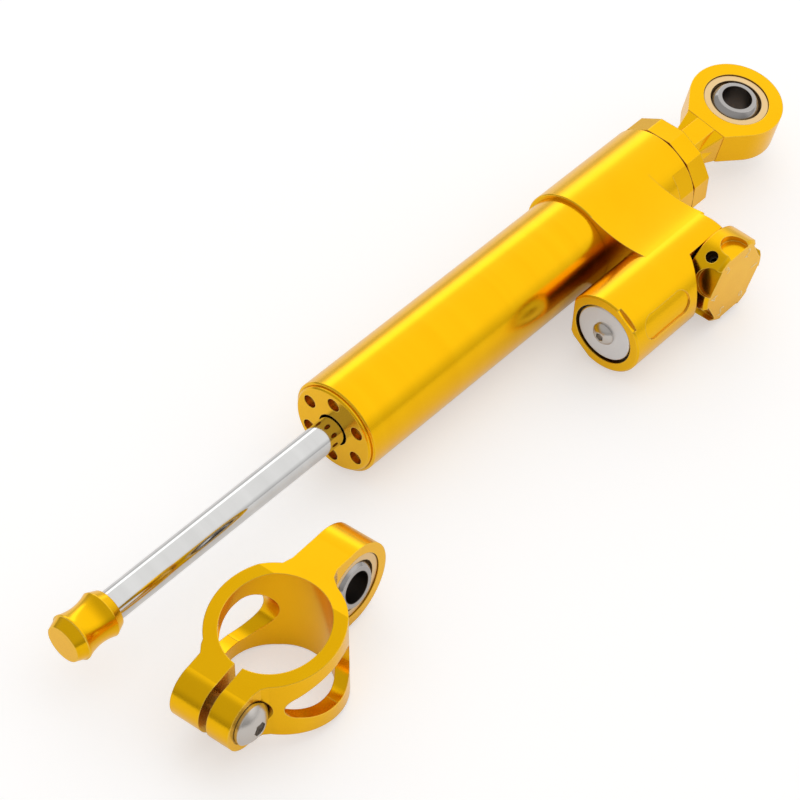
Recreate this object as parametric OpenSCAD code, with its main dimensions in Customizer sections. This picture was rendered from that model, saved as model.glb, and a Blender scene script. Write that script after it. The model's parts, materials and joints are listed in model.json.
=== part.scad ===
// Adjustable linear steering damper with a through rod, a side reservoir, a control knob and a loose
// split clamp for the barrel. Millimetres. X runs along the barrel towards the rod eye, Z is up and the
// origin is the middle of the exposed barrel tube on its axis.

/* [Barrel] */
// outside diameter of the barrel tube
barrel_od = 31; // [28:0.5:36]
// wall of the barrel tube
barrel_wall = 2.5; // [2:0.1:3.2]
// visible length of the barrel tube
tube_len = 108; // [96:1:130]
// length of tube seated inside the head block
tube_seat = 20; // [16:1:22]

/* [Rod] */
// diameter of the polished rod
rod_d = 9.5; // [8:0.1:10]
// rod shown between the barrel and its end cap
rod_out = 92; // [88:1:110]
// length of the rod end cap
cap_len = 17; // [15:0.5:22]
// largest radius of the rod end cap
cap_r = 7.5; // [7.2:0.1:9]
// radius of the waist of the rod end cap
cap_waist = 6.4; // [6.1:0.1:6.8]
// turn of the rod eye about the rod
eye_roll = 12.5; // [0:0.5:30]

/* [Head block] */
// wall of the head block over the barrel tube
head_wall = 1.5; // [1.2:0.1:3]
// length of the head block
head_len = 43; // [42:0.5:52]
// distance between the barrel and reservoir axes
reservoir_reach = 33; // [32:0.5:36]
// radius of the reservoir
reservoir_r = 13.7; // [13:0.1:14.5]
// radius of the hollow between the head block and the reservoir
web_hollow = 40; // [34:1:60]
// reservoir length in front of the head block
reservoir_front = 24; // [20:1:34]
// reservoir length beside the head block
reservoir_rear = 28; // [26:1:30]

/* [Rear nut] */
// corner radius of the twelve sided nut
nut_r = 17; // [15.6:0.1:17]
// length of the nut behind the head block
nut_len = 7.4; // [6:0.1:10]

/* [Knob] */
// radius of the control knob
knob_r = 14.5; // [14:0.1:15.5]
// height of the control knob
knob_h = 10.2; // [9.5:0.1:12]
// width of one grip scallop
scallop_w = 9; // [8:0.2:10.4]
// depth of one grip scallop
scallop_d = 2.4; // [1.8:0.1:3.4]

/* [Eye and bearing] */
// outside radius of both eyes
eye_r = 15.75; // [14.5:0.05:17]
// thickness of both eyes
eye_t = 12.2; // [11:0.1:13]
// diameter of the bearing ball
ball_d = 19.05; // [18.5:0.05:19.5]
// width of the bearing ball
ball_w = 14; // [13.4:0.1:14.4]
// bolt hole through the bearing ball
ball_bore = 10; // [8:0.1:10.4]
// outside diameter of the bearing race
race_od = 22; // [21.4:0.1:23]

/* [Clamp] */
// height of the clamp along its bore
clamp_h = 30.4; // [28:0.1:34]
// wall of the clamp ring
clamp_wall = 4.1; // [3.6:0.1:5]
// distance from the bore axis to the pinch bolt
lug_reach = 22.5; // [22:0.1:26]
// radius of the pinch bolt lugs
lug_r = 8.7; // [8.2:0.1:10]
// width of the saw cut between the lugs
clamp_split = 2.7; // [1.5:0.1:3]
// distance from the bore axis to the clamp eye
clamp_eye_reach = 31.1; // [30:0.1:34]
// sideways set of the clamp eye
clamp_eye_side = 3.8; // [0:0.1:4.5]
// place of the clamp bore along the rod
clamp_x = -125.6; // [-135:0.1:-115]
// place of the clamp bore beside the rod
clamp_y = -44.4; // [-60:0.1:-40]
// heading of the clamp
clamp_yaw = 4.2; // [0:0.1:20]

/* [Fits] */
// radial gap of seated round parts
seat_fit = 0.03; // [0.02:0.01:0.05]
// radial gap of sliding and turning round parts
run_fit = 0.04; // [0.02:0.01:0.06]

/* [Hidden] */
$fn = 96;
eps = 0.5;
// barrel
barrel_r = barrel_od / 2;
bore_r = barrel_r - barrel_wall;
front_x = -tube_len / 2;
head_x = tube_len / 2;
tube_end = head_x + tube_seat;
tube_seat_r = barrel_r - 0.2;
gland_cbore_r = barrel_r - 1;
gland_flange = 5;
gland_end = front_x + 17;
face_x = front_x - 1.2;
span_r = (gland_cbore_r + 6.7) / 2;
span_hole_r = 2.2;
gasket_t = 1;
// rod
rod_r = rod_d / 2;
wiper_r = rod_r + 3.25;
bush_r = rod_r + 1.75;
seal_r = rod_r + 3.75;
cap_rear = front_x - rod_out;
cap_front = cap_rear - cap_len;
rod_front = cap_front + 6;
stud_r = 4;
// head block
head_r = barrel_r + head_wall;
head_end = head_x + head_len;
relief_x = tube_end + gasket_t;
seal_x = tube_end + 4;
bush_x = seal_x + 4;
nut_x = bush_x + 7;
nut_end = head_end + nut_len;
nut_spigot_r = seal_r + 1.5;
res_x0 = head_x - reservoir_front;
res_x1 = head_x + reservoir_rear;
res_bore_r = reservoir_r - 3.2;
res_flat = reservoir_reach - barrel_r - 5.9;
web_a = web_hollow + head_r;
web_b = web_hollow + reservoir_r;
web_y = (web_a * web_a - web_b * web_b + reservoir_reach * reservoir_reach) / (2 * reservoir_reach);
web_z = sqrt(web_a * web_a - web_y * web_y);
flat_x = head_x + 35.5;
flat_r = nut_r * cos(15);
// knob and valve
knob_x = res_x1 - 6;
pocket_r = knob_r + 2.6;
pocket_b = reservoir_reach + 4.8;
knob_b0 = pocket_b + 0.5;
knob_b1 = knob_b0 + knob_h;
res_bore_end = knob_x - pocket_r - 2.4;
spindle_r = 2.5;
needle_r = 1.55;
valve_r = 4.2;
valve_b0 = head_r + 3;
valve_b1 = valve_b0 + 6;
bush_b1 = pocket_b - 0.5;
socket_b0 = valve_b1 + 2;
drill_b = valve_b0 + 4;
roll_a = asin(head_r / norm([knob_r, knob_b1])) - atan2(knob_r, knob_b1);
// reservoir
snap_x0 = res_x0 + 1.6;
snap_x1 = snap_x0 + 1.3;
cap_disc_r = res_bore_r - 0.75;
comp_x0 = res_x0 + 16;
comp_x1 = comp_x0 + 7;
// piston
piston_x0 = gland_end + 0.5;
piston_x1 = piston_x0 + 18;
piston_r = bore_r - 0.4;
ring_x0 = piston_x0 + 7.5;
ring_x1 = ring_x0 + 3;
ring_in_r = piston_r - 2.2;
// eye
neck_x0 = nut_end + 0.5;
neck_r = rod_r + 2.2;
eye_x = neck_x0 + 34.4;
eye_flat_x = eye_x - 16.4;
race_r = race_od / 2;
ball_r = ball_d / 2;
race_w = eye_t - 0.8;
mouth_r = ball_r - 0.9;
mouth_z = 0.46 * ball_r;
clamp_ball_tilt = 6;
// clamp
clamp_bore = barrel_r + 0.05;
clamp_ro = clamp_bore + clamp_wall;
clamp_crease = 12;
near_lug = 8.9;
far_lug = 11.3;
floor_z = -head_r;
bolt_r = 3;
bolt_head_r = 6.4;
bolt_cbore_r = bolt_head_r + 0.3;
bolt_cbore_y = -near_lug + 0.3;
bolt_len = far_lug - bolt_cbore_y - 1;
win_r = 8.4;
win_x = 4;
win_tip_r = 4.4;
win_tip_x = -9.3;
win_len = win_x - win_tip_x;
win_arc = (win_len * win_len + win_r * win_r - win_tip_r * win_tip_r) / (2 * (win_r - win_tip_r));
win_cut = win_tip_x - win_tip_r * win_len / (win_arc - win_tip_r);
drop_half = clamp_h / 2;
clamp_eye_r = drop_half - 1;
slope_run = lug_reach + clamp_crease;
slope_a = asin(lug_r / norm([slope_run, drop_half])) - atan2(drop_half, slope_run);
tan_x = -lug_reach + lug_r * sin(slope_a);
tan_z = lug_r * cos(slope_a);

// round bar along X
module bar(r, x0, x1) {
  translate([x0, 0, 0]) rotate([0, 90, 0]) cylinder(r = r, h = x1 - x0);
}

// round bar along X with a through hole
module sleeve(ro, ri, x0, x1) {
  difference() {
    bar(ro, x0, x1);
    bar(ri, x0 - eps, x1 + eps);
  }
}

// turned shape about X from [radius, x] points
module turned(pts) {
  rotate([0, 90, 0]) rotate_extrude() polygon(pts);
}

// flat shape in Y and Z pulled along X
module along_x(x0, x1) {
  translate([x0, 0, 0]) rotate([90, 0, 90]) linear_extrude(height = x1 - x0) children();
}

// damper body rolled until the knob stands on the floor
module body() {
  rotate([roll_a, 0, 0]) children();
}

// reservoir axis along X
module at_reservoir() {
  translate([0, -reservoir_reach, 0]) children();
}

// knob frame with local z reaching out from the barrel axis
module at_knob() {
  translate([knob_x, 0, 0]) rotate([90, 0, 0]) children();
}

// rod eye frame with local z along the bearing bore
module at_eye() {
  rotate([eye_roll, 0, 0]) translate([eye_x, 0, 0]) children();
}

// clamp frame with the bore upright on local z
module at_clamp() {
  translate([clamp_x, clamp_y, floor_z + clamp_h / 2]) rotate([0, 0, clamp_yaw]) children();
}

// bearing race around the origin with its bore on z
module race() {
  difference() {
    cylinder(r = race_r - seat_fit, h = race_w, center = true);
    sphere(r = ball_r + run_fit);
    translate([0, 0, mouth_z]) cylinder(r = mouth_r, h = race_w);
    translate([0, 0, -mouth_z - race_w]) cylinder(r = mouth_r, h = race_w);
  }
}

// bored bearing ball around the origin
module ball() {
  difference() {
    intersection() {
      sphere(r = ball_r);
      cube([3 * ball_r, 3 * ball_r, ball_w], center = true);
    }
    cylinder(d = ball_bore, h = ball_w + 2, center = true);
  }
}

module barrel_tube() {
  color([0.93, 0.66, 0.08])
  body()
  difference() {
    turned([[0, front_x], [barrel_r - 0.4, front_x], [barrel_r, front_x + 0.4], [barrel_r, head_x],
      [tube_seat_r, head_x], [tube_seat_r, tube_end], [0, tube_end]]);
    bar(bore_r, front_x - eps, tube_end + eps);
    bar(gland_cbore_r, front_x - eps, front_x + gland_flange);
  }
}

module front_gland() {
  flange_r = gland_cbore_r - seat_fit;
  spigot_r = bore_r - seat_fit;
  color([0.91, 0.63, 0.07])
  body()
  difference() {
    union() {
      turned([[0, face_x], [flange_r - 0.5, face_x], [flange_r, face_x + 0.5],
        [flange_r, front_x + gland_flange], [0, front_x + gland_flange]]);
      bar(spigot_r, front_x + gland_flange, gland_end);
    }
    bar(rod_r + 0.6, face_x - eps, gland_end + eps);
    bar(wiper_r, front_x + 1.5, front_x + 4.5);
    bar(bush_r, front_x + 6, gland_end + eps);
    bar(seal_r, front_x + 13, gland_end + eps);
    sleeve(bore_r + 1, bore_r - 1.4, front_x + 9, front_x + 11.4);
    for (i = [0 : 5])
      rotate([60 * i, 0, 0]) translate([0, 0, span_r]) bar(span_hole_r, face_x - eps, front_x + 1);
  }
}

module front_gland_oring() {
  color([0.06, 0.06, 0.06])
  body() sleeve(bore_r - seat_fit, bore_r - 1.4 + seat_fit, front_x + 9.2, front_x + 11.2);
}

module front_wiper() {
  color([0.08, 0.08, 0.08])
  body() sleeve(wiper_r - seat_fit, rod_r + run_fit, front_x + 1.5, front_x + 4.5);
}

module front_rod_bush() {
  color([0.72, 0.52, 0.26])
  body() sleeve(bush_r - seat_fit, rod_r + run_fit, front_x + 6, front_x + 13);
}

module front_rod_seal() {
  color([0.06, 0.06, 0.06])
  body() sleeve(seal_r - seat_fit, rod_r + run_fit, front_x + 13, gland_end);
}

// section of the web, hollowed above and below between the head and the reservoir
module web_section() {
  in_y = -0.98 * head_r * web_y / web_a;
  in_z = 0.98 * head_r * web_z / web_a;
  out_y = -reservoir_reach + 0.98 * reservoir_r * (reservoir_reach - web_y) / web_b;
  out_z = 0.98 * reservoir_r * web_z / web_b;
  difference() {
    polygon([[in_y, in_z], [out_y, out_z], [out_y, -out_z], [in_y, -in_z]]);
    translate([-web_y, web_z]) circle(r = web_hollow + 0.06);
    translate([-web_y, -web_z]) circle(r = web_hollow + 0.06);
  }
}

// reservoir outside with its flat beside the tube
module reservoir_shell() {
  difference() {
    at_reservoir() turned([[0, res_x0], [reservoir_r - 0.5, res_x0], [reservoir_r, res_x0 + 0.5],
      [reservoir_r, res_x1 - 1], [reservoir_r - 1, res_x1], [0, res_x1]]);
    translate([res_x0 - eps, -reservoir_reach + res_flat, -reservoir_r - eps])
      cube([reservoir_front + eps, reservoir_r, 2 * reservoir_r + 2 * eps]);
  }
}

// shallow recess with round ends on the outer side of the reservoir, its floor following the round
module reservoir_flat() {
  intersection() {
    rotate([65, 0, 0]) translate([res_x0 + 9, 0, reservoir_r / 2])
    union() {
      cylinder(r = 4.2, h = reservoir_r);
      translate([0, -4.1, 0]) cube([13, 8.2, reservoir_r]);
      translate([13, 0, 0]) cylinder(r = 4.2, h = reservoir_r);
    }
    sleeve(reservoir_r + 2, reservoir_r - 0.5, res_x0 + 2, res_x0 + 30);
  }
}

module head_block() {
  color([0.95, 0.68, 0.09])
  body()
  difference() {
    union() {
      turned([[0, head_x], [head_r - 0.3, head_x], [head_r, head_x + 0.3], [head_r, head_end - 0.8],
        [head_r - 0.8, head_end], [0, head_end]]);
      along_x(head_x, res_x1) web_section();
      reservoir_shell();
    }
    bar(tube_seat_r + seat_fit, head_x - eps, relief_x);
    bar(bore_r - 0.5, head_x, seal_x);
    bar(seal_r, head_x, bush_x);
    bar(bush_r, head_x, nut_x + eps);
    bar(nut_spigot_r, nut_x, head_end + eps);
    for (a = [-30 : 30 : 30])
      rotate([a, 0, 0]) translate([flat_x, -head_r - 4, -5])
        cube([head_end - flat_x + eps, head_r + 4 - flat_r, 10]);
    at_reservoir() bar(res_bore_r, res_x0 - eps, res_bore_end);
    at_reservoir() bar(res_bore_r + 0.65, snap_x0, snap_x1);
    at_knob() translate([0, 0, pocket_b]) cylinder(r = pocket_r, h = 20);
    at_knob() translate([0, 0, valve_b0]) cylinder(r = valve_r, h = 30);
    at_knob() translate([0, 0, bore_r - 2]) cylinder(r = 1.2, h = valve_b0 - bore_r + 3);
    translate([0, -drill_b, 0]) bar(1.3, res_bore_end - 1, knob_x);
    for (a = [35 : 180 : 215])
      at_reservoir() rotate([a, 0, 0]) translate([res_x0 - eps, -4, reservoir_r - 1.1])
        cube([eps + 1.5, 8, 3]);
    at_reservoir() reservoir_flat();
  }
}

module tube_gasket() {
  color([0.07, 0.07, 0.07])
  body() sleeve(tube_seat_r - 0.3, bore_r, tube_end, relief_x);
}

module rear_gland_nut() {
  color([0.93, 0.66, 0.08])
  body()
  difference() {
    union() {
      translate([head_end, 0, 0]) rotate([0, 90, 0]) rotate([0, 0, 15])
        cylinder(r = nut_r, h = nut_len, $fn = 12);
      bar(nut_spigot_r - seat_fit, nut_x, head_end + eps);
    }
    bar(rod_r + 0.85, nut_x - eps, nut_end + eps);
    bar(wiper_r, nut_end - 4, nut_end - 1);
  }
}

module rear_rod_bush() {
  color([0.72, 0.52, 0.26])
  body() sleeve(bush_r - seat_fit, rod_r + run_fit, bush_x, nut_x);
}

module rear_rod_seal() {
  color([0.06, 0.06, 0.06])
  body() sleeve(seal_r - seat_fit, rod_r + run_fit, seal_x, bush_x);
}

module rear_wiper() {
  color([0.08, 0.08, 0.08])
  body() sleeve(wiper_r - seat_fit, rod_r + run_fit, nut_end - 4, nut_end - 1);
}

module reservoir_cap() {
  color([0.82, 0.82, 0.83])
  body() at_reservoir()
  difference() {
    union() {
      turned([[0, res_x0 + 0.5], [cap_disc_r - 0.3, res_x0 + 0.5], [cap_disc_r, res_x0 + 0.8],
        [cap_disc_r, snap_x1], [0, snap_x1]]);
      bar(res_bore_r - seat_fit, snap_x1, res_x0 + 8);
    }
    sleeve(res_bore_r + 1, res_bore_r - 1.3, res_x0 + 4.6, res_x0 + 6.8);
    bar(2, res_x0 - eps, res_x0 + 8 + eps);
  }
}

module reservoir_snap_ring() {
  color([0.12, 0.12, 0.13])
  body() at_reservoir()
  difference() {
    sleeve(res_bore_r + 0.6, cap_disc_r + 0.2, snap_x0, snap_x1);
    translate([snap_x0 - eps, -2, -res_bore_r - 3]) cube([3, 4, 5]);
  }
}

module reservoir_cap_screw() {
  color([0.76, 0.76, 0.77])
  body() at_reservoir()
  difference() {
    union() {
      intersection() {
        bar(3.8, res_x0 - 1.7, res_x0 + 0.5);
        translate([res_x0 + 2.6, 0, 0]) sphere(r = 4.6);
      }
      bar(2 - seat_fit, res_x0, res_x0 + 8);
    }
    translate([res_x0 - 3, 0, 0]) rotate([0, 90, 0]) cylinder(r = 2.5 / sqrt(3), h = 2.9, $fn = 6);
  }
}

module reservoir_cap_oring() {
  color([0.06, 0.06, 0.06])
  body() at_reservoir()
    sleeve(res_bore_r - seat_fit, res_bore_r - 1.3 + seat_fit, res_x0 + 4.8, res_x0 + 6.6);
}

module valve_bush() {
  color([0.72, 0.58, 0.32])
  body() at_knob()
  difference() {
    translate([0, 0, valve_b1]) cylinder(r = valve_r - seat_fit, h = bush_b1 - valve_b1);
    translate([0, 0, valve_b1 - eps]) cylinder(r = needle_r + run_fit, h = 10);
    translate([0, 0, socket_b0]) cylinder(r = spindle_r + run_fit, h = 30);
  }
}

module piston_ring() {
  color([0.2, 0.2, 0.21])
  body() sleeve(bore_r - run_fit, ring_in_r + run_fit, ring_x0, ring_x1);
}

module piston_rod() {
  color([0.86, 0.86, 0.88])
  union() {
    turned([[0, rod_front], [rod_r - 0.5, rod_front], [rod_r, rod_front + 0.5], [rod_r, neck_x0],
      [0, neck_x0]]);
    bar(stud_r, neck_x0, neck_x0 + 13);
  }
}

module piston() {
  color([0.7, 0.71, 0.73])
  difference() {
    bar(piston_r, piston_x0, piston_x1);
    sleeve(piston_r + 2, ring_in_r, ring_x0, ring_x1);
    bar(rod_r + seat_fit, piston_x0 - eps, piston_x1 + eps);
  }
}

module piston_nut() {
  color([0.45, 0.45, 0.47])
  difference() {
    translate([piston_x1, 0, 0]) rotate([0, 90, 0]) cylinder(r = rod_r + 4, h = 5, $fn = 6);
    bar(rod_r + seat_fit, piston_x1 - eps, piston_x1 + 5 + eps);
  }
}

module rod_end_cap() {
  rim_x = cap_front + cap_len * 0.21;
  waist_x = cap_front + cap_len * 0.53;
  ridge_x = cap_rear - cap_len * 0.19;
  color([0.95, 0.68, 0.09])
  difference() {
    turned([[0, cap_front], [cap_r - 1.7, cap_front], [cap_r - 0.4, rim_x - 0.3],
      [cap_r - 0.1, rim_x - 0.3], [cap_r - 0.1, rim_x + 0.6], [cap_r, rim_x + 0.9], [cap_r, ridge_x],
      [cap_r - 1.4, cap_rear], [0, cap_rear]]);
    rotate([0, 90, 0]) rotate_extrude() translate([cap_waist + 14.5, waist_x]) circle(r = 14.5);
    bar(rod_r + seat_fit, rod_front, cap_rear + eps);
  }
}

module rod_eye() {
  color([0.96, 0.7, 0.1])
  difference() {
    union() {
      at_eye() translate([0, 0, -eye_t / 2]) linear_extrude(height = eye_t) {
        circle(r = eye_r);
        polygon([[0, eye_r - 1.2], [-eye_r * 0.6, eye_r * 0.8], [eye_flat_x - eye_x, neck_r + 0.8],
          [eye_flat_x - eye_x, -neck_r - 0.8], [-eye_r * 0.6, -eye_r * 0.8], [0, -eye_r + 1.2]]);
      }
      rotate([eye_roll, 0, 0]) translate([neck_x0, 0, 0]) rotate([0, 90, 0]) rotate([0, 0, 30])
        cylinder(r = neck_r, h = eye_flat_x + 2 - neck_x0, $fn = 6);
    }
    at_eye() cylinder(r = race_r, h = eye_t + 2, center = true);
    bar(stud_r + seat_fit, neck_x0 - eps, neck_x0 + 14);
  }
}

module eye_race() {
  color([0.8, 0.72, 0.52])
  at_eye() race();
}

module eye_ball() {
  color([0.74, 0.74, 0.76])
  at_eye() ball();
}

module compensator_piston() {
  color([0.7, 0.71, 0.73])
  body() at_reservoir()
  difference() {
    bar(res_bore_r - run_fit, comp_x0, comp_x1);
    sleeve(res_bore_r + 1, res_bore_r - 1.3, comp_x0 + 2.4, comp_x0 + 4.6);
    bar(res_bore_r - 3.5, comp_x0 - eps, comp_x0 + 3);
  }
}

module compensator_oring() {
  color([0.06, 0.06, 0.06])
  body() at_reservoir()
    sleeve(res_bore_r - run_fit, res_bore_r - 1.3 + seat_fit, comp_x0 + 2.6, comp_x0 + 4.4);
}

// one grip scallop, round at the collar and open to the knob face
module scallop() {
  translate([knob_r - scallop_d, 0, knob_b1 - 6.5 + scallop_w / 2]) rotate([0, 90, 0])
    cylinder(r = scallop_w / 2, h = 8);
  translate([knob_r - scallop_d, -scallop_w / 2, knob_b1 - 6.5 + scallop_w / 2]) cube([8, scallop_w, 10]);
}

module adjuster_knob() {
  color([0.95, 0.68, 0.09])
  body() at_knob()
  difference() {
    rotate_extrude() polygon([[0, knob_b0], [knob_r - 0.4, knob_b0], [knob_r, knob_b0 + 0.4],
      [knob_r, knob_b1 - 1], [knob_r - 1, knob_b1], [0, knob_b1]]);
    for (i = [0 : 5])
      rotate([0, 0, 30 + 60 * i]) scallop();
    translate([0, 0, knob_b0 - eps]) cylinder(r = spindle_r + seat_fit, h = knob_h - 1.5 + eps);
    rotate([0, 0, 120]) translate([0, 0, knob_b0 + 5]) rotate([0, 90, 0]) cylinder(r = 2, h = knob_r + 2);
  }
}

module knob_grub_screw() {
  color([0.16, 0.16, 0.17])
  body() at_knob()
  rotate([0, 0, 120]) translate([0, 0, knob_b0 + 5]) rotate([0, 90, 0])
  difference() {
    translate([0, 0, spindle_r + 0.05]) cylinder(r = 2 - seat_fit, h = 8);
    translate([0, 0, spindle_r + 6]) cylinder(r = 2 / sqrt(3), h = 4, $fn = 6);
  }
}

module adjuster_spindle() {
  color([0.7, 0.7, 0.72])
  body() at_knob()
  difference() {
    translate([0, 0, socket_b0 + 0.2]) cylinder(r = spindle_r, h = knob_b1 - 1.5 - socket_b0 - 0.2);
    translate([0, 0, socket_b0]) cylinder(r = needle_r + run_fit, h = 6);
  }
}

module valve_needle() {
  color([0.74, 0.74, 0.76])
  body() at_knob()
  rotate_extrude() polygon([[0, valve_b0 + 0.4], [0.3, valve_b0 + 0.4], [needle_r, valve_b0 + 3],
    [needle_r, socket_b0 + 4.5], [0, socket_b0 + 4.5]]);
}

// lugs seen from above, flared into the ring
module lug_plan() {
  lug_x = -lug_reach - lug_r - 1;
  flare_x = -clamp_ro * 0.71;
  flare_y = clamp_ro * 0.69;
  polygon([[lug_x, -near_lug], [-lug_reach + 2, -near_lug], [-lug_reach + 4.5, -near_lug - 0.6],
    [flare_x - 2, (-near_lug - flare_y) / 2], [flare_x, -flare_y], [0, -flare_y], [0, flare_y],
    [flare_x, flare_y], [flare_x - 2, flare_y - 0.8], [-lug_reach + 4.5, far_lug], [lug_x, far_lug]]);
}

// arm and eye seen from above, a straight bar set over to one side and flared into the ring
module arm_plan() {
  end_x = clamp_eye_reach + drop_half + 1;
  y0 = clamp_eye_side - eye_t / 2;
  y1 = clamp_eye_side + eye_t / 2;
  polygon([[0, y1], [clamp_ro * 0.74, y1 + 2.6], [clamp_ro * 0.83, y1 + 0.9], [clamp_ro, y1], [end_x, y1],
    [end_x, y0], [clamp_ro + 4.2, y0], [clamp_ro + 1.4, y0 - 1.1], [clamp_ro - 0.6, y0 - 3.6],
    [clamp_ro * 0.88, -clamp_ro * 0.46], [0, -clamp_ro * 0.46]]);
}

// clamp outline along the pinch bolt, wide enough to cover the plan
module clamp_side() {
  rotate([90, 0, 0])
  union() {
    translate([-lug_reach, 0, 0]) cylinder(r = lug_r + 0.08, h = 60, center = true);
    linear_extrude(height = 60, center = true)
      polygon([[tan_x, tan_z], [clamp_crease, drop_half], [clamp_eye_reach, clamp_eye_r - 0.1],
        [clamp_eye_reach, 0.1 - clamp_eye_r], [clamp_crease, -drop_half], [tan_x, -tan_z]]);
    translate([clamp_eye_reach, 0, 0]) cylinder(r = clamp_eye_r, h = 60, center = true);
  }
}

// drop shaped window, narrowing to a round end at the lugs
module clamp_window() {
  translate([win_x, 0]) circle(r = win_r + 0.15);
  translate([win_tip_x, 0]) circle(r = win_tip_r + 0.1);
  intersection() {
    translate([win_x, win_r - win_arc]) circle(r = win_arc);
    translate([win_x, win_arc - win_r]) circle(r = win_arc);
    translate([win_cut + 0.2, -win_r - 1]) square([win_len, 2 * win_r + 2]);
  }
}

module clamp_ring() {
  color([0.95, 0.68, 0.09])
  at_clamp()
  difference() {
    intersection() {
      union() {
        cylinder(r = clamp_ro, h = clamp_h, center = true);
        translate([0, 0, -clamp_h / 2]) linear_extrude(height = clamp_h) lug_plan();
        translate([0, 0, -clamp_h / 2]) linear_extrude(height = clamp_h) arm_plan();
      }
      clamp_side();
    }
    cylinder(r = clamp_bore, h = clamp_h + 2, center = true);
    translate([-lug_reach - lug_r - 2, -clamp_split / 2, -clamp_h])
      cube([lug_reach + lug_r, clamp_split, 2 * clamp_h]);
    rotate([90, 0, 0]) translate([0, 0, -40]) linear_extrude(height = 80) clamp_window();
    translate([-lug_reach, 0, 0]) rotate([90, 0, 0]) cylinder(r = bolt_r + 0.25, h = near_lug + 1);
    translate([-lug_reach, 0, 0]) rotate([-90, 0, 0]) cylinder(r = bolt_r, h = far_lug + 1);
    translate([-lug_reach, bolt_cbore_y, 0]) rotate([90, 0, 0]) cylinder(r = bolt_cbore_r, h = 12);
    translate([clamp_eye_reach, 0, 0]) rotate([90, 0, 0]) cylinder(r = race_r, h = 60, center = true);
    translate([clamp_eye_reach, clamp_eye_side + eye_t / 2, 0]) rotate([-90, 0, 0])
      cylinder(r = race_r + 1.6, h = 20);
    translate([clamp_eye_reach, clamp_eye_side - eye_t / 2, 0]) rotate([90, 0, 0])
      cylinder(r = race_r + 1.6, h = 20);
  }
}

module clamp_race() {
  color([0.8, 0.72, 0.52])
  at_clamp() translate([clamp_eye_reach, clamp_eye_side, 0]) rotate([90, 0, 0]) race();
}

module clamp_bolt() {
  color([0.74, 0.74, 0.76])
  at_clamp() translate([-lug_reach, bolt_cbore_y, 0]) rotate([90, 0, 0])
  difference() {
    union() {
      intersection() {
        cylinder(r = bolt_head_r, h = 4.4);
        translate([0, 0, -4.2]) sphere(r = 8.6);
      }
      translate([0, 0, -bolt_len]) cylinder(r = bolt_r - seat_fit, h = bolt_len + 1);
    }
    translate([0, 0, 1.6]) cylinder(r = 4 / sqrt(3), h = 6, $fn = 6);
  }
}

module clamp_ball() {
  color([0.74, 0.74, 0.76])
  at_clamp() translate([clamp_eye_reach, clamp_eye_side, 0]) rotate([90 - clamp_ball_tilt, 0, 0]) ball();
}

barrel_tube();
front_gland();
front_gland_oring();
front_wiper();
front_rod_bush();
front_rod_seal();
head_block();
tube_gasket();
rear_gland_nut();
rear_rod_bush();
rear_rod_seal();
rear_wiper();
reservoir_cap();
reservoir_snap_ring();
reservoir_cap_screw();
reservoir_cap_oring();
valve_bush();
piston_ring();
piston_rod();
piston();
piston_nut();
rod_end_cap();
rod_eye();
eye_race();
eye_ball();
compensator_piston();
compensator_oring();
adjuster_knob();
knob_grub_screw();
adjuster_spindle();
valve_needle();
clamp_ring();
clamp_race();
clamp_bolt();
clamp_ball();
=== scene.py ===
import json
import math

import bmesh
import bpy
from mathutils import Matrix, Vector


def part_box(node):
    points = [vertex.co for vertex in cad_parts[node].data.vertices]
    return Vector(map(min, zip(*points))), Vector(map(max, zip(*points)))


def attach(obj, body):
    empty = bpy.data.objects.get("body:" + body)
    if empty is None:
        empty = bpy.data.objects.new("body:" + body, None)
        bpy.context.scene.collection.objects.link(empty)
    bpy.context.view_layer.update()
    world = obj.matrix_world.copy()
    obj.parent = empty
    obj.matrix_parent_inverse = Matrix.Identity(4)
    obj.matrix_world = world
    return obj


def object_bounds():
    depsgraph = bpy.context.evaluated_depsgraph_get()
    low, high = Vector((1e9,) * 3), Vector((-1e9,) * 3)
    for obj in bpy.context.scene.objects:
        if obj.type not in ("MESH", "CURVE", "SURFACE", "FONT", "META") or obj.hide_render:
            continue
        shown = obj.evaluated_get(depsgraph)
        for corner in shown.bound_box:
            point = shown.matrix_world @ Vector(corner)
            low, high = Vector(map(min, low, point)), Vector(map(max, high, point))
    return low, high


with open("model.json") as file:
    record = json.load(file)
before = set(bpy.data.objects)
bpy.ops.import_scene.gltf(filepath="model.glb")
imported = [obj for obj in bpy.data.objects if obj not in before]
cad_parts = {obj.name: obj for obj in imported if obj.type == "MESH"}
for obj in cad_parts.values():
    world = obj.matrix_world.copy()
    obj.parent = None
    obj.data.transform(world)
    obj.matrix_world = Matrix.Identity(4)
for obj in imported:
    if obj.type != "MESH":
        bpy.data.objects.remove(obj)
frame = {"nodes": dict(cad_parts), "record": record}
cad_low, cad_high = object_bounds()
nodes = frame["nodes"]
scene = bpy.context.scene

# Lie of the damper: the whole body leans a little about the barrel onto its knob
FLOOR_Z = cad_low.z
KNOB_TURN = next(joint for joint in frame["record"]["behaviour"]["joints"] if joint["name"] == "knob_turn")
LEAN = math.asin(-KNOB_TURN["axis"][2])
KNOB_AXIS = Vector((0, -math.cos(LEAN), -math.sin(LEAN)))


def add(tree, kind, **values):
    """One shader node; a value goes to the property of that name, or to the input socket."""
    node = tree.nodes.new(kind)
    for key, value in values.items():
        if hasattr(node, key):
            setattr(node, key, value)
        else:
            node.inputs[key.replace("_", " ").title()].default_value = value
    return node


def link(tree, out, into):
    tree.links.new(out, into)


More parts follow.
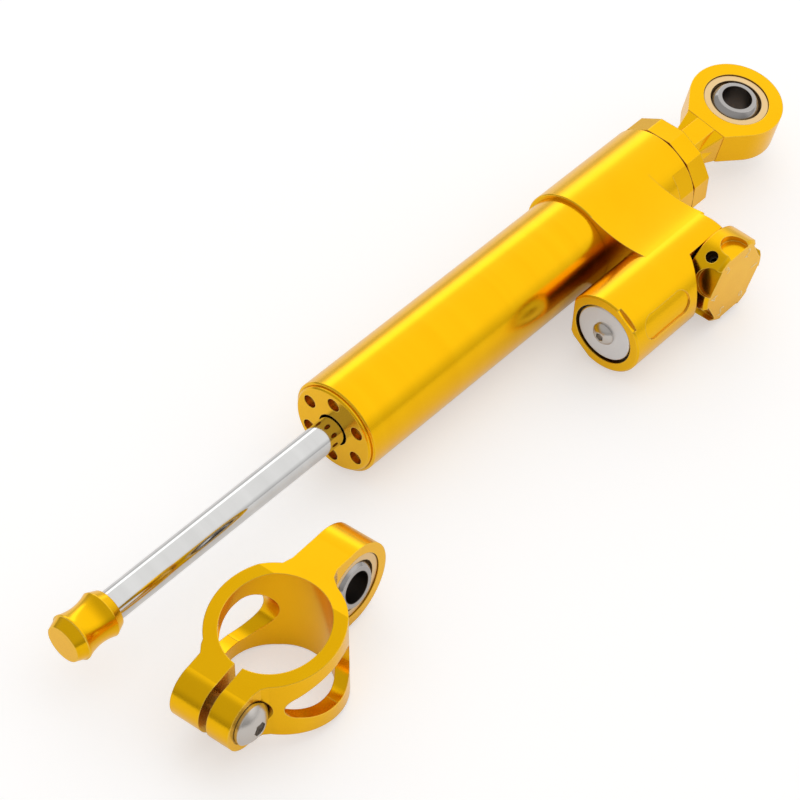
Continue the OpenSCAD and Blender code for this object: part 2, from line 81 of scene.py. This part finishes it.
def map_range(tree, value, from_low, from_high, to_low=0.0, to_high=1.0, **kinds):
    """A float that runs over one span while the value runs over another."""
    node = add(tree, "ShaderNodeMapRange", **kinds)
    spans = {"From Min": from_low, "From Max": from_high, "To Min": to_low, "To Max": to_high}
    for socket, level in spans.items():
        node.inputs[socket].default_value = level
    link(tree, value, node.inputs["Value"])
    return node.outputs["Result"]


def new_group(name, inputs, outputs):
    """An empty node group with float, vector or colour sockets, and its end nodes."""
    tree = bpy.data.node_groups.new(name, "ShaderNodeTree")
    for label, kind, value in inputs:
        socket = tree.interface.new_socket(label, in_out="INPUT", socket_type="NodeSocket" + kind)
        socket.default_value = value
    for label, kind in outputs:
        tree.interface.new_socket(label, in_out="OUTPUT", socket_type="NodeSocket" + kind)
    return tree, tree.nodes.new("NodeGroupInput"), tree.nodes.new("NodeGroupOutput")


def about_axis(tree, start):
    """How far along the group's Axis each point of the piece lies, and how far out from it."""
    place = add(tree, "ShaderNodeTexCoord")
    from_axis = add(tree, "ShaderNodeVectorMath", operation="SUBTRACT")
    link(tree, place.outputs["Object"], from_axis.inputs[0])
    link(tree, start.outputs["Point"], from_axis.inputs[1])
    along = add(tree, "ShaderNodeVectorMath", operation="DOT_PRODUCT")
    link(tree, from_axis.outputs[0], along.inputs[0])
    link(tree, start.outputs["Axis"], along.inputs[1])
    foot = add(tree, "ShaderNodeVectorMath", operation="SCALE")
    link(tree, start.outputs["Axis"], foot.inputs[0])
    link(tree, along.outputs["Value"], foot.inputs["Scale"])
    out = add(tree, "ShaderNodeVectorMath", operation="DISTANCE")
    link(tree, from_axis.outputs[0], out.inputs[0])
    link(tree, foot.outputs[0], out.inputs[1])
    return along.outputs["Value"], out.outputs["Value"]


def turned_lines_group():
    """Fine rings left by a lathe tool, along an axis and across the end faces."""
    tree, start, end = new_group(
        "turned_lines",
        [("Point", "Vector", (0, 0, 0)), ("Axis", "Vector", (1, 0, 0)), ("Lines", "Float", 2600.0)],
        [("Height", "Float"), ("Tone", "Float")],
    )
    along, out = about_axis(tree, start)
    walk = add(tree, "ShaderNodeMath", operation="ADD")
    link(tree, along, walk.inputs[0])
    link(tree, out, walk.inputs[1])
    rings = add(tree, "ShaderNodeTexNoise", noise_dimensions="1D", detail=4.0, roughness=0.65)
    link(tree, walk.outputs[0], rings.inputs["W"])
    link(tree, start.outputs["Lines"], rings.inputs["Scale"])
    bands = add(tree, "ShaderNodeTexNoise", noise_dimensions="1D", scale=140.0, detail=3.0)
    link(tree, walk.outputs[0], bands.inputs["W"])
    link(tree, rings.outputs["Fac"], end.inputs["Height"])
    link(tree, bands.outputs["Fac"], end.inputs["Tone"])
    return tree


def milled_grain_group():
    """Fine even grain of a milled and blasted face, with slow tone changes."""
    tree, start, end = new_group(
        "milled_grain", [("Grain", "Float", 3200.0)], [("Height", "Float"), ("Tone", "Float")]
    )
    place = add(tree, "ShaderNodeTexCoord")
    grain = add(tree, "ShaderNodeTexNoise", detail=3.0, roughness=0.6)
    link(tree, place.outputs["Object"], grain.inputs["Vector"])
    link(tree, start.outputs["Grain"], grain.inputs["Scale"])
    slow = add(tree, "ShaderNodeTexNoise", scale=55.0, detail=3.0, roughness=0.55)
    link(tree, place.outputs["Object"], slow.inputs["Vector"])
    link(tree, grain.outputs["Fac"], end.inputs["Height"])
    link(tree, slow.outputs["Fac"], end.inputs["Tone"])
    return tree


def handling_group():
    """Where fingers and cloths have been: faint smears and a few short scratches."""
    tree, start, end = new_group(
        "handling", [("Size", "Float", 90.0)], [("Smear", "Float"), ("Scratch", "Float")]
    )
    place = add(tree, "ShaderNodeTexCoord")
    smear = add(tree, "ShaderNodeTexNoise", detail=5.0, roughness=0.7, distortion=0.8)
    link(tree, place.outputs["Object"], smear.inputs["Vector"])
    link(tree, start.outputs["Size"], smear.inputs["Scale"])
    turned = add(tree, "ShaderNodeMapping")
    turned.inputs["Rotation"].default_value = (0.4, 0.9, 0.6)
    turned.inputs["Scale"].default_value = (60, 900, 900)
    link(tree, place.outputs["Object"], turned.inputs["Vector"])
    hair = add(tree, "ShaderNodeTexNoise", scale=1.0, detail=2.0)
    link(tree, turned.outputs["Vector"], hair.inputs["Vector"])
    link(tree, map_range(tree, smear.outputs["Fac"], 0.42, 0.75), end.inputs["Smear"])
    link(tree, map_range(tree, hair.outputs["Fac"], 0.72, 0.78), end.inputs["Scratch"])
    return tree


def edge_rub_group():
    """Mask along sharp edges for a paler colour there: partly worn-thin finish, partly painted highlight."""
    tree, start, end = new_group("edge_wear_and_highlight", [("Width", "Float", 0.0004)], [("Mask", "Float")])
    soft = add(tree, "ShaderNodeBevel", samples=6)
    link(tree, start.outputs["Width"], soft.inputs["Radius"])
    flat = add(tree, "ShaderNodeNewGeometry")
    same = add(tree, "ShaderNodeVectorMath", operation="DOT_PRODUCT")
    link(tree, soft.outputs["Normal"], same.inputs[0])
    link(tree, flat.outputs["Normal"], same.inputs[1])
    link(tree, map_range(tree, same.outputs["Value"], 0.995, 0.86), end.inputs["Mask"])
    return tree


def bore_shade_group():
    """Mask of the wall of a round hole about an axis, where the colour goes darker and duller."""
    tree, start, end = new_group(
        "bore_shade",
        [("Point", "Vector", (0, 0, 0)), ("Axis", "Vector", (0, 0, 1)), ("Radius", "Float", 0.005)],
        [("Mask", "Float")],
    )
    _, out = about_axis(tree, start)
    past = add(tree, "ShaderNodeMath", operation="DIVIDE")
    link(tree, out, past.inputs[0])
    link(tree, start.outputs["Radius"], past.inputs[1])
    link(tree, map_range(tree, past.outputs[0], 1.04, 1.01), end.inputs["Mask"])
    return tree


def crevice_group():
    """Mask of corners and narrow gaps, for painted shade: a deep brown where little light gets in."""
    tree, start, end = new_group("corner_shade", [("Reach", "Float", 0.012)], [("Mask", "Float")])
    open_sky = add(tree, "ShaderNodeAmbientOcclusion", samples=8)
    link(tree, start.outputs["Reach"], open_sky.inputs["Distance"])
    link(tree, map_range(tree, open_sky.outputs["AO"], 0.60, 0.10), end.inputs["Mask"])
    return tree


TURNED_LINES = turned_lines_group()
BORE_SHADE = bore_shade_group()
CORNER_SHADE = crevice_group()
MILLED_GRAIN = milled_grain_group()
HANDLING = handling_group()
EDGE_WEAR_AND_HIGHLIGHT = edge_rub_group()


def place_group(tree, group, **values):
    node = tree.nodes.new("ShaderNodeGroup")
    node.node_tree = group
    for key, value in values.items():
        node.inputs[key].default_value = value
    return node


def between(tree, factor, low, high):
    """A float that runs from low to high with the factor."""
    return map_range(tree, factor, 0.0, 1.0, low, high)


def blend_colour(tree, factor, low, high):
    """A colour that runs from low to high; either end is a colour or a socket."""
    node = add(tree, "ShaderNodeMix", data_type="RGBA")
    link(tree, factor, node.inputs[0])
    for end, socket in ((low, node.inputs[6]), (high, node.inputs[7])):
        if isinstance(end, tuple):
            socket.default_value = (*end, 1)
        else:
            link(tree, end, socket)
    return node.outputs[2]


# Values that every finish shares
EDGE_WIDTH = 0.0004
SMEAR_SIZE = 90.0
SCRATCH_DULL = 0.02
MARK_STRENGTH = 0.6
# Reach and share of the painted shade in corners and narrow gaps
CORNER_REACH, CORNER_SHARE = 0.02, 0.65
STAKE_BROWN = (0.05, 0.028, 0.012)
BORE_BROWN, BORE_DULL = (0.10, 0.085, 0.075), 0.42


def finish(name, marks, deep, light, rough, edge, edge_share=0.5, relief=0.000004, metallic=1.0, smear=0.03,
           bore=None, corner=None, stake=None):
    """A surface finish: tool marks as relief and tone, smears as roughness, and paler edges that are partly wear
    and partly painted highlight.

    A bore darkens the wall of a hole, a corner colour is painted shade in the nooks, and a stake keeps the
    colour inside a round line and browns what lies outside it.
    """
    mat = bpy.data.materials.new(name)
    mat.use_nodes = True
    tree = mat.node_tree
    shader = tree.nodes["Principled BSDF"]
    shader.inputs["Metallic"].default_value = metallic
    group, values = marks
    mark = place_group(tree, group, **values)
    touch = place_group(tree, HANDLING, Size=SMEAR_SIZE)
    # Paler sharp edges: partly worn finish, partly painted highlight
    wear_and_highlight = place_group(tree, EDGE_WEAR_AND_HIGHLIGHT, Width=EDGE_WIDTH)
    colour = blend_colour(tree, mark.outputs["Tone"], deep, light)
    share = between(tree, wear_and_highlight.outputs["Mask"], 0.0, edge_share)
    colour = blend_colour(tree, share, colour, edge)
    # Painted shade: corners and narrow gaps turn deep brown through an occlusion mask
    if corner:
        corner_shade_mask = place_group(tree, CORNER_SHADE, Reach=CORNER_REACH)
        colour = blend_colour(tree, between(tree, corner_shade_mask.outputs["Mask"], 0.0, CORNER_SHARE), colour, corner)
    if stake:
        inside = place_group(tree, BORE_SHADE, **stake)
        colour = blend_colour(tree, inside.outputs["Mask"], STAKE_BROWN, colour)
    if bore:
        hole = place_group(tree, BORE_SHADE, **bore)
        colour = blend_colour(tree, hole.outputs["Mask"], colour, BORE_BROWN)
    link(tree, colour, shader.inputs["Base Color"])
    dull = add(tree, "ShaderNodeMath", operation="ADD")
    link(tree, between(tree, touch.outputs["Smear"], rough, rough + smear), dull.inputs[0])
    link(tree, between(tree, touch.outputs["Scratch"], 0.0, SCRATCH_DULL), dull.inputs[1])
    if bore:
        rougher = add(tree, "ShaderNodeMath", operation="MAXIMUM")
        link(tree, dull.outputs[0], rougher.inputs[0])
        link(tree, between(tree, hole.outputs["Mask"], 0.0, BORE_DULL), rougher.inputs[1])
        link(tree, rougher.outputs[0], shader.inputs["Roughness"])
    else:
        link(tree, dull.outputs[0], shader.inputs["Roughness"])
    soft = add(tree, "ShaderNodeBevel", samples=6)
    soft.inputs["Radius"].default_value = EDGE_WIDTH
    bump = add(tree, "ShaderNodeBump")
    bump.inputs["Strength"].default_value = MARK_STRENGTH
    bump.inputs["Distance"].default_value = relief
    link(tree, mark.outputs["Height"], bump.inputs["Height"])
    link(tree, soft.outputs["Normal"], bump.inputs["Normal"])
    link(tree, bump.outputs["Normal"], shader.inputs["Normal"])
    return mat


# Colours and tool marks of each finish
GOLD_DEEP, GOLD_LIGHT = (0.94, 0.49, 0.003), (1.0, 0.56, 0.006)
# Edge colour: partly wear, partly painted highlight; corner colour: painted shade
GOLD_EDGE, GOLD_CORNER_SHADE = (1.0, 0.76, 0.18), (0.20, 0.075, 0.001)
LATHE_LINES, DISC_LINES, MILL_GRAIN = 2600.0, 2000.0, 3200.0
RACE_STAKE_R = 0.0105
ALONG_BARREL = (TURNED_LINES, {"Point": (0, 0, 0), "Axis": (1, 0, 0), "Lines": LATHE_LINES})
KNOB_X = (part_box("adjuster_knob")[0].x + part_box("adjuster_knob")[1].x) / 2
ABOUT_KNOB = (TURNED_LINES, {"Point": (KNOB_X, 0, 0), "Axis": tuple(KNOB_AXIS), "Lines": LATHE_LINES})
disc_low, disc_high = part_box("reservoir_cap")
DISC_CENTRE = (0, (disc_low.y + disc_high.y) / 2, (disc_low.z + disc_high.z) / 2)
ABOUT_DISC = (TURNED_LINES, {"Point": DISC_CENTRE, "Axis": (1, 0, 0), "Lines": DISC_LINES})
EVEN = (MILLED_GRAIN, {"Grain": MILL_GRAIN})
BALL_BORES = {
    mount["name"]: {
        "Point": tuple(mount["pos_m"]),
        "Axis": tuple(mount["axis"]),
        "Radius": mount["dims"]["r_mm"] / 1000,
    }
    for mount in frame["record"]["mounts"] if mount["kind"] == "bore"
}
# The clamp's race stands upright, though its ball is tipped a little
CLAMP_RACE_AXIS = (Vector(BALL_BORES["clamp_eye_bore"]["Axis"]) * Vector((1, 1, 0))).normalized()
RACE_STAKES = {name: {**hole, "Radius": RACE_STAKE_R} for name, hole in BALL_BORES.items()}
RACE_STAKES["clamp_eye_bore"]["Axis"] = tuple(CLAMP_RACE_AXIS)


def gold(name, marks, rough):
    return finish(name, marks, GOLD_DEEP, GOLD_LIGHT, rough, GOLD_EDGE, corner=GOLD_CORNER_SHADE)


gold_turned = gold("gold anodised turned", ALONG_BARREL, 0.20)
gold_milled = gold("gold anodised milled", EVEN, 0.22)
gold_knob = gold("gold anodised knob", ABOUT_KNOB, 0.22)
rod_chrome = finish("polished chrome rod", ALONG_BARREL, (0.60, 0.595, 0.585), (0.72, 0.715, 0.705), 0.06,
                    (0.85, 0.85, 0.84), relief=0.0000008, smear=0.06)
STEEL = (EVEN, (0.36, 0.34, 0.33), (0.52, 0.50, 0.48), 0.12, (0.8, 0.78, 0.76))
rod_ball_steel = finish("rod ball steel", *STEEL, relief=0.000002, bore=BALL_BORES["rod_eye_bore"])
clamp_ball_steel = finish("clamp ball steel", *STEEL, relief=0.000002, bore=BALL_BORES["clamp_eye_bore"])
ground_steel = finish("ground steel", *STEEL, relief=0.000002)
screw_steel = finish("screw steel", EVEN, (0.56, 0.52, 0.48), (0.66, 0.62, 0.58), 0.24, (0.8, 0.8, 0.78),
                     relief=0.000005)
BRASS = (EVEN, (0.76, 0.52, 0.24), (0.88, 0.64, 0.34), 0.30, (0.95, 0.80, 0.52))
# Painted shade for the nooks around the races
BRASS_CORNER_SHADE = (0.10, 0.06, 0.03)
rod_race_brass = finish("rod race brass", *BRASS, corner=BRASS_CORNER_SHADE, stake=RACE_STAKES["rod_eye_bore"])
clamp_race_brass = finish("clamp race brass", *BRASS, corner=BRASS_CORNER_SHADE, stake=RACE_STAKES["clamp_eye_bore"])
disc_aluminium = finish("bare aluminium disc", ABOUT_DISC, (0.74, 0.74, 0.75), (0.84, 0.84, 0.85), 0.34,
                        (0.95, 0.95, 0.95), relief=0.000005)
bare_aluminium = finish("bare aluminium", ALONG_BARREL, (0.66, 0.66, 0.67), (0.78, 0.78, 0.79), 0.34,
                        (0.9, 0.9, 0.9))
dark_steel = finish("blackened steel", EVEN, (0.035, 0.034, 0.036), (0.06, 0.06, 0.062), 0.42, (0.2, 0.2, 0.2))
bush_bronze = finish("bush bronze", ALONG_BARREL, (0.48, 0.29, 0.10), (0.62, 0.40, 0.17), 0.34,
                     (0.75, 0.55, 0.3))
seal_rubber = finish("seal rubber", EVEN, (0.016, 0.016, 0.017), (0.028, 0.027, 0.027), 0.55,
                     (0.06, 0.06, 0.06), edge_share=0.3, relief=0.00001, metallic=0.0)

FINISH_OF = {
    gold_turned: ["barrel_tube", "front_gland", "rear_gland_nut", "rod_end_cap"],
    gold_milled: ["head_block", "rod_eye", "clamp_ring"],
    gold_knob: ["adjuster_knob"],
    rod_chrome: ["piston_rod"],
    rod_ball_steel: ["eye_ball"],
    clamp_ball_steel: ["clamp_ball"],
    ground_steel: ["valve_needle", "adjuster_spindle"],
    screw_steel: ["clamp_bolt", "reservoir_cap_screw"],
    rod_race_brass: ["eye_race"],
    clamp_race_brass: ["clamp_race"],
    disc_aluminium: ["reservoir_cap"],
    bare_aluminium: ["piston", "compensator_piston"],
    dark_steel: ["reservoir_snap_ring", "knob_grub_screw", "piston_nut", "piston_ring"],
    bush_bronze: ["front_rod_bush", "rear_rod_bush", "valve_bush"],
    seal_rubber: ["front_gland_oring", "front_wiper", "front_rod_seal", "tube_gasket", "rear_rod_seal",
                  "rear_wiper", "reservoir_cap_oring", "compensator_oring"],
}
for mat, names in FINISH_OF.items():
    for name in names:
        slots = nodes[name].data.materials
        slots.clear()
        slots.append(mat)

# Figures on the knob, in metres
NUMERALS = 6
NUMERAL_SIZE, NUMERAL_STANDS, NUMERAL_OUT = 0.0048, 0.00003, 0.0102
numeral_ink = finish("knob numeral etch", EVEN, (0.90, 0.66, 0.26), (0.98, 0.76, 0.36), 0.5, (1.0, 0.84, 0.5),
                     relief=0.00001)


def knob_numeral(digit, turn):
    """One small etched figure near the rim of the knob's face, upright towards the rim."""
    curve = bpy.data.curves.new(f"knob_numeral_{digit}", "FONT")
    curve.body = str(digit)
    curve.size = NUMERAL_SIZE
    curve.align_x, curve.align_y = "CENTER", "CENTER"
    curve.extrude = NUMERAL_STANDS
    curve.resolution_u = 3
    written = bpy.data.objects.new(f"knob_numeral_{digit}_text", curve)
    scene.collection.objects.link(written)
    shaped = written.evaluated_get(bpy.context.evaluated_depsgraph_get())
    mesh = bpy.data.meshes.new_from_object(shaped)
    bpy.data.objects.remove(written)
    face = max(corner.co.dot(KNOB_AXIS) for corner in nodes["adjuster_knob"].data.vertices)
    across = Vector((1, 0, 0))
    up = KNOB_AXIS.cross(across)
    angle = math.radians(turn)
    out = across * math.cos(angle) + up * math.sin(angle)
    side = KNOB_AXIS.cross(out)
    centre = Vector((KNOB_X, 0, 0)) + KNOB_AXIS * face + out * NUMERAL_OUT
    place = Matrix((-side, out, KNOB_AXIS)).transposed().to_4x4()
    place.translation = centre
    mesh.transform(place)
    mesh.materials.append(numeral_ink)
    figure = bpy.data.objects.new(f"knob_numeral_{digit}", mesh)
    scene.collection.objects.link(figure)
    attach(figure, "knob")


for step in range(NUMERALS):
    knob_numeral(step + 1, 360 / NUMERALS * step)

# Gusset on the rod eye's neck, in metres; its half width and half thickness at each end
SHOULDER_FROM_BORE = 0.0164
GUSSET_LENGTH, GUSSET_SINKS, GUSSET_BEVEL = 0.0110, 0.0004, 0.0003
GUSSET_AT_EYE, GUSSET_AT_NECK = (0.00765, 0.00605), (0.0050, 0.0030)


def neck_gusset():
    """Sloped shoulders that carry the hexagon neck out to the width of the eye."""
    bore = BALL_BORES["rod_eye_bore"]
    shoulder_x = bore["Point"][0] - SHOULDER_FROM_BORE
    shape = bmesh.new()
    bmesh.ops.create_cube(shape, size=1.0)
    for corner in shape.verts:
        at_eye = corner.co.x > 0
        x = shoulder_x + (GUSSET_SINKS if at_eye else -GUSSET_LENGTH)
        half_width, half_thick = GUSSET_AT_EYE if at_eye else GUSSET_AT_NECK
        corner.co = (x, math.copysign(half_width, corner.co.y), math.copysign(half_thick, corner.co.z))
    bmesh.ops.bevel(shape, geom=shape.edges[:], offset=GUSSET_BEVEL, segments=2, profile=0.5, affect="EDGES",
                    material=-1)
    roll = math.atan2(-bore["Axis"][1], bore["Axis"][2])
    bmesh.ops.rotate(shape, verts=shape.verts, cent=(0, 0, 0), matrix=Matrix.Rotation(roll, 3, "X"))
    mesh = bpy.data.meshes.new("eye_neck_gusset")
    shape.to_mesh(mesh)
    shape.free()
    mesh.materials.append(gold_milled)
    gusset = bpy.data.objects.new("eye_neck_gusset", mesh)
    scene.collection.objects.link(gusset)
    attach(gusset, "rod")


neck_gusset()


# Studio: floor paper, dome and the place of the eye, in metres and as shares of white
FLOOR_DROP, FLOOR_HALF = 0.0002, 6.0
PAPER = (0.70, 0.685, 0.675, 1)
PAPER_LIFT, MIRRORED_SHARE = 0.49, 0.70
SKY_DIM, SKY_RIGHT = 0.56, 1.06
OBJECT_MIDDLE = Vector((0, -0.02, 0))
EYE_PLACE, EYE_AIM = (-0.4414, -0.3702, 0.5603), Vector((0.52166, 0.46439, -0.71569))
FILM_WIDTH, LENS_LENGTH = 36.0, 119.25


def towards_sky(azimuth, elevation):
    """Direction of a place on the dome, in degrees from +X and up from the floor."""
    a, e = math.radians(azimuth), math.radians(elevation)
    return Vector((math.cos(a) * math.cos(e), math.sin(a) * math.cos(e), math.sin(e)))


def studio_floor():
    """A pale sheet that stays white to the eye but keeps the soft shadows."""
    mesh = bpy.data.meshes.new("studio_floor")
    sheet = bmesh.new()
    bmesh.ops.create_grid(sheet, x_segments=1, y_segments=1, size=FLOOR_HALF)
    bmesh.ops.translate(sheet, verts=sheet.verts, vec=(0, 0, FLOOR_Z - FLOOR_DROP))
    sheet.to_mesh(mesh)
    sheet.free()
    floor = bpy.data.objects.new("studio_floor", mesh)
    scene.collection.objects.link(floor)
    mat = bpy.data.materials.new("studio floor paper")
    mat.use_nodes = True
    tree = mat.node_tree
    paper = tree.nodes["Principled BSDF"]
    paper.inputs["Base Color"].default_value = PAPER
    paper.inputs["Roughness"].default_value = 0.9
    paper.inputs["Specular IOR Level"].default_value = 0.1
    path = add(tree, "ShaderNodeLightPath")
    seen = add(tree, "ShaderNodeMath", operation="MAXIMUM")
    link(tree, path.outputs["Is Camera Ray"], seen.inputs[0])
    mirrored = add(tree, "ShaderNodeMath", operation="MULTIPLY")
    mirrored.inputs[1].default_value = MIRRORED_SHARE
    link(tree, path.outputs["Is Glossy Ray"], mirrored.inputs[0])
    link(tree, mirrored.outputs[0], seen.inputs[1])
    through = add(tree, "ShaderNodeMath", operation="MAXIMUM")
    link(tree, seen.outputs[0], through.inputs[0])
    link(tree, path.outputs["Is Transmission Ray"], through.inputs[1])
    lift = add(tree, "ShaderNodeMath", operation="MULTIPLY")
    lift.inputs[1].default_value = PAPER_LIFT
    link(tree, through.outputs[0], lift.inputs[0])
    paper.inputs["Emission Color"].default_value = (1, 1, 1, 1)
    link(tree, lift.outputs[0], paper.inputs["Emission Strength"])
    mesh.materials.append(mat)


def studio_world():
    """A pale dome, dimmer at the horizon and on the left behind the object, white to the eye."""
    world = bpy.data.worlds.new("studio_dome")
    scene.world = world
    world.use_nodes = True
    tree = world.node_tree
    sky = tree.nodes["Background"]
    place = add(tree, "ShaderNodeTexCoord")
    split = add(tree, "ShaderNodeSeparateXYZ")
    link(tree, place.outputs["Generated"], split.inputs[0])
    across = map_range(tree, split.outputs["X"], -0.1, 0.45, SKY_DIM, SKY_RIGHT, interpolation_type="SMOOTHSTEP")
    height = map_range(tree, split.outputs["Z"], 0.04, 0.46, SKY_DIM, 1.0)
    dome = add(tree, "ShaderNodeMath", operation="MULTIPLY")
    link(tree, across, dome.inputs[0])
    link(tree, height, dome.inputs[1])
    path = add(tree, "ShaderNodeLightPath")
    level = add(tree, "ShaderNodeMix")
    link(tree, path.outputs["Is Camera Ray"], level.inputs[0])
    link(tree, dome.outputs[0], level.inputs[2])
    level.inputs[3].default_value = 1.0
    link(tree, level.outputs[0], sky.inputs["Strength"])
    sky.inputs["Color"].default_value = (1, 1, 1, 1)


def softbox(name, azimuth, elevation, distance, width, height, brightness):
    """A rectangular lamp looking at the object; brightness is what a mirror would show of it."""
    lamp = bpy.data.lights.new(name, "AREA")
    lamp.shape = "RECTANGLE"
    lamp.size, lamp.size_y = width, height
    lamp.energy = brightness * math.pi * width * height
    box = bpy.data.objects.new(name, lamp)
    towards = towards_sky(azimuth, elevation)
    box.rotation_euler = towards.to_track_quat("Z", "Y").to_euler()
    box.location = OBJECT_MIDDLE + towards * distance
    scene.collection.objects.link(box)


def photo_camera():
    """The eye of the photograph, from the front left and well above."""
    lens = bpy.data.cameras.new("photo_camera")
    lens.sensor_width = FILM_WIDTH
    lens.lens = LENS_LENGTH
    lens.clip_start, lens.clip_end = 0.05, 20.0
    camera = bpy.data.objects.new("photo_camera", lens)
    camera.location = EYE_PLACE
    camera.rotation_euler = EYE_AIM.to_track_quat("-Z", "Y").to_euler()
    scene.collection.objects.link(camera)
    scene.camera = camera


studio_floor()
studio_world()
softbox("back_strip", azimuth=52, elevation=26, distance=1.2, width=1.1, height=0.40, brightness=0.75)
photo_camera()
scene.view_settings.view_transform = "Standard"
